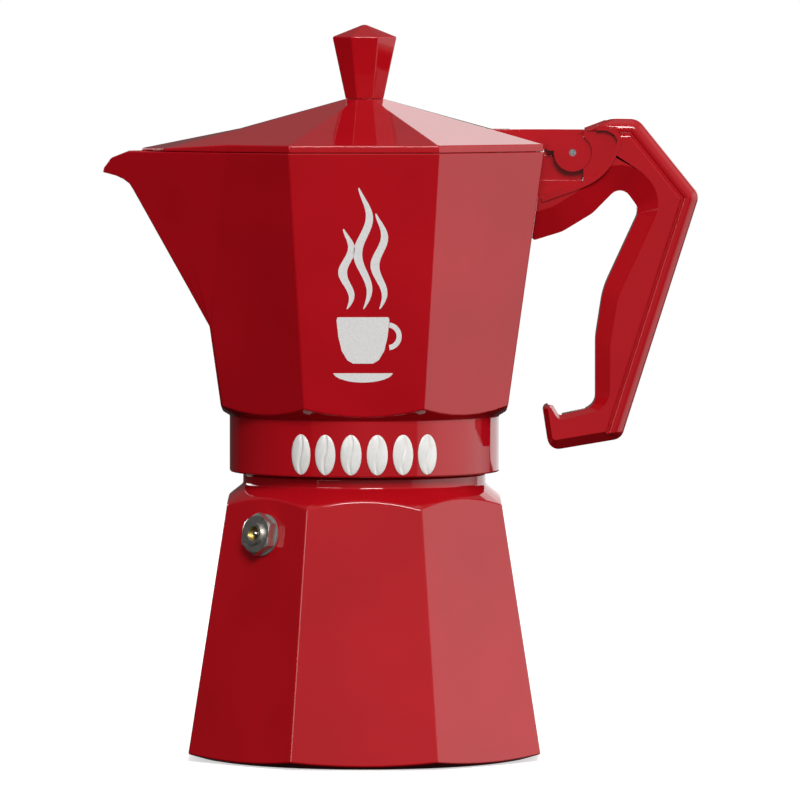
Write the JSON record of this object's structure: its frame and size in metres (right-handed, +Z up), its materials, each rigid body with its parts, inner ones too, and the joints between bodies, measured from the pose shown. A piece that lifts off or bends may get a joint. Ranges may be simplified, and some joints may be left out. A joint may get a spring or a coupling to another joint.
{
  "type": "moka pot",
  "caption": "Eight-sided stovetop coffee maker in red lacquer: boiler, funnel, filter, screwed upper pot with spout, hinged lid with knob, and angular handle.",
  "frame": {"origin": "centre of the boiler's underside, on the table", "axes": "+Z up along the pot's axis; +X towards the handle, -X towards the spout; +Y away from the front facet, which carries the ornament"},
  "size_m": [0.1765, 0.1058, 0.2174],
  "materials": {
    "red_lacquer": "high-gloss red lacquer over cast aluminium",
    "red_nylon": "polished red moulded nylon",
    "cast_aluminium": "bare machined and cast aluminium",
    "steel": "bright stainless steel",
    "nickel": "nickel-plated brass",
    "brass": "plain turned brass",
    "silicone": "matt white silicone",
    "sealing_washer": "dark fibre washer",
    "white_enamel": "white enamel on raised metal"
  },
  "bodies": {
    "boiler": {"boiler": "red_lacquer", "valve_body": "nickel", "valve_washer": "sealing_washer", "valve_retainer": "brass", "valve_spring": "steel"},
    "valve_plunger": {"valve_pin": "steel"},
    "funnel": {"funnel": "cast_aluminium", "funnel_disc": "cast_aluminium"},
    "seal": {"gasket": "silicone"},
    "filter": {"filter_plate": "cast_aluminium"},
    "pot": {"upper_pot": "red_lacquer", "column": "cast_aluminium", "collar_ornament": "white_enamel", "handle": "red_nylon", "handle_screw": "steel"},
    "lid": {"lid": "red_lacquer", "hinge_pin": "steel", "knob": "red_nylon", "knob_insert": "brass", "knob_screw": "steel", "knob_washer": "steel"}
  },
  "joints": [
    {"name": "lid_hinge", "type": "hinge", "parent": "pot", "child": "lid", "pos_m": [0.0616, 0, 0.1796], "axis": [0, 1, 0], "range_deg": [0, 100]},
    {"name": "lift_off", "type": "slide", "parent": "boiler", "child": "seal", "axis": [0, 0, 1], "range_m": [0, 0.18]},
    {"name": "unscrew_rise", "type": "slide", "parent": "seal", "child": "filter", "axis": [0, 0, 1], "range_m": [0, 0.0091]},
    {"name": "unscrew", "type": "hinge", "parent": "filter", "child": "pot", "pos_m": [0, 0, 0.09], "axis": [0, 0, 1], "range_deg": [0, 1080]},
    {"name": "funnel_lift", "type": "slide", "parent": "boiler", "child": "funnel", "axis": [0, 0, 1], "range_m": [0, 0.0905]},
    {"name": "valve_relief", "type": "slide", "parent": "boiler", "child": "valve_plunger", "axis": [-0.6988, -0.6988, 0.1527], "range_m": [0, 0.0015], "stiffness_N_per_m": 1200, "springref_m": -0.002, "deforming": ["valve_spring"]}
  ],
  "couplings": [
    {"joint": "unscrew_rise", "follows": "unscrew", "m_per_rad": 0.00047746},
    {"joint": "funnel_lift", "follows": "lift_off", "ratio": 0.5}
  ]
}
